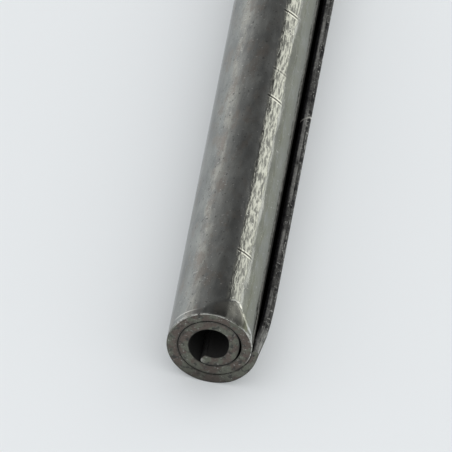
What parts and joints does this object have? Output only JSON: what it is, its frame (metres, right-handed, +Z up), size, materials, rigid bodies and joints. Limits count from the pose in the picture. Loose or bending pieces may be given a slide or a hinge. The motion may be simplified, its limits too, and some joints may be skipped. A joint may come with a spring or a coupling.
{
  "type": "spiral pin",
  "caption": "Spiral spring pin rolled from flat spring-steel strip, with a sprung outer edge and rounded ends, driven into a drilled hole to hold parts together.",
  "frame": {"origin": "on the axis of the coil, halfway along the pin", "axes": "+Y along the axis, away from the end that the picture shows; +X to the sprung outer edge; +Z up, with the pin lying on its side"},
  "size_m": [0.0085, 0.06, 0.0077],
  "materials": {
    "spring_steel": "plain oiled spring steel, dark grey, with rolling streaks, scuffs and sheared edges"
  },
  "bodies": {
    "root": {"spiral_pin": "spring_steel"}
  },
  "joints": []
}
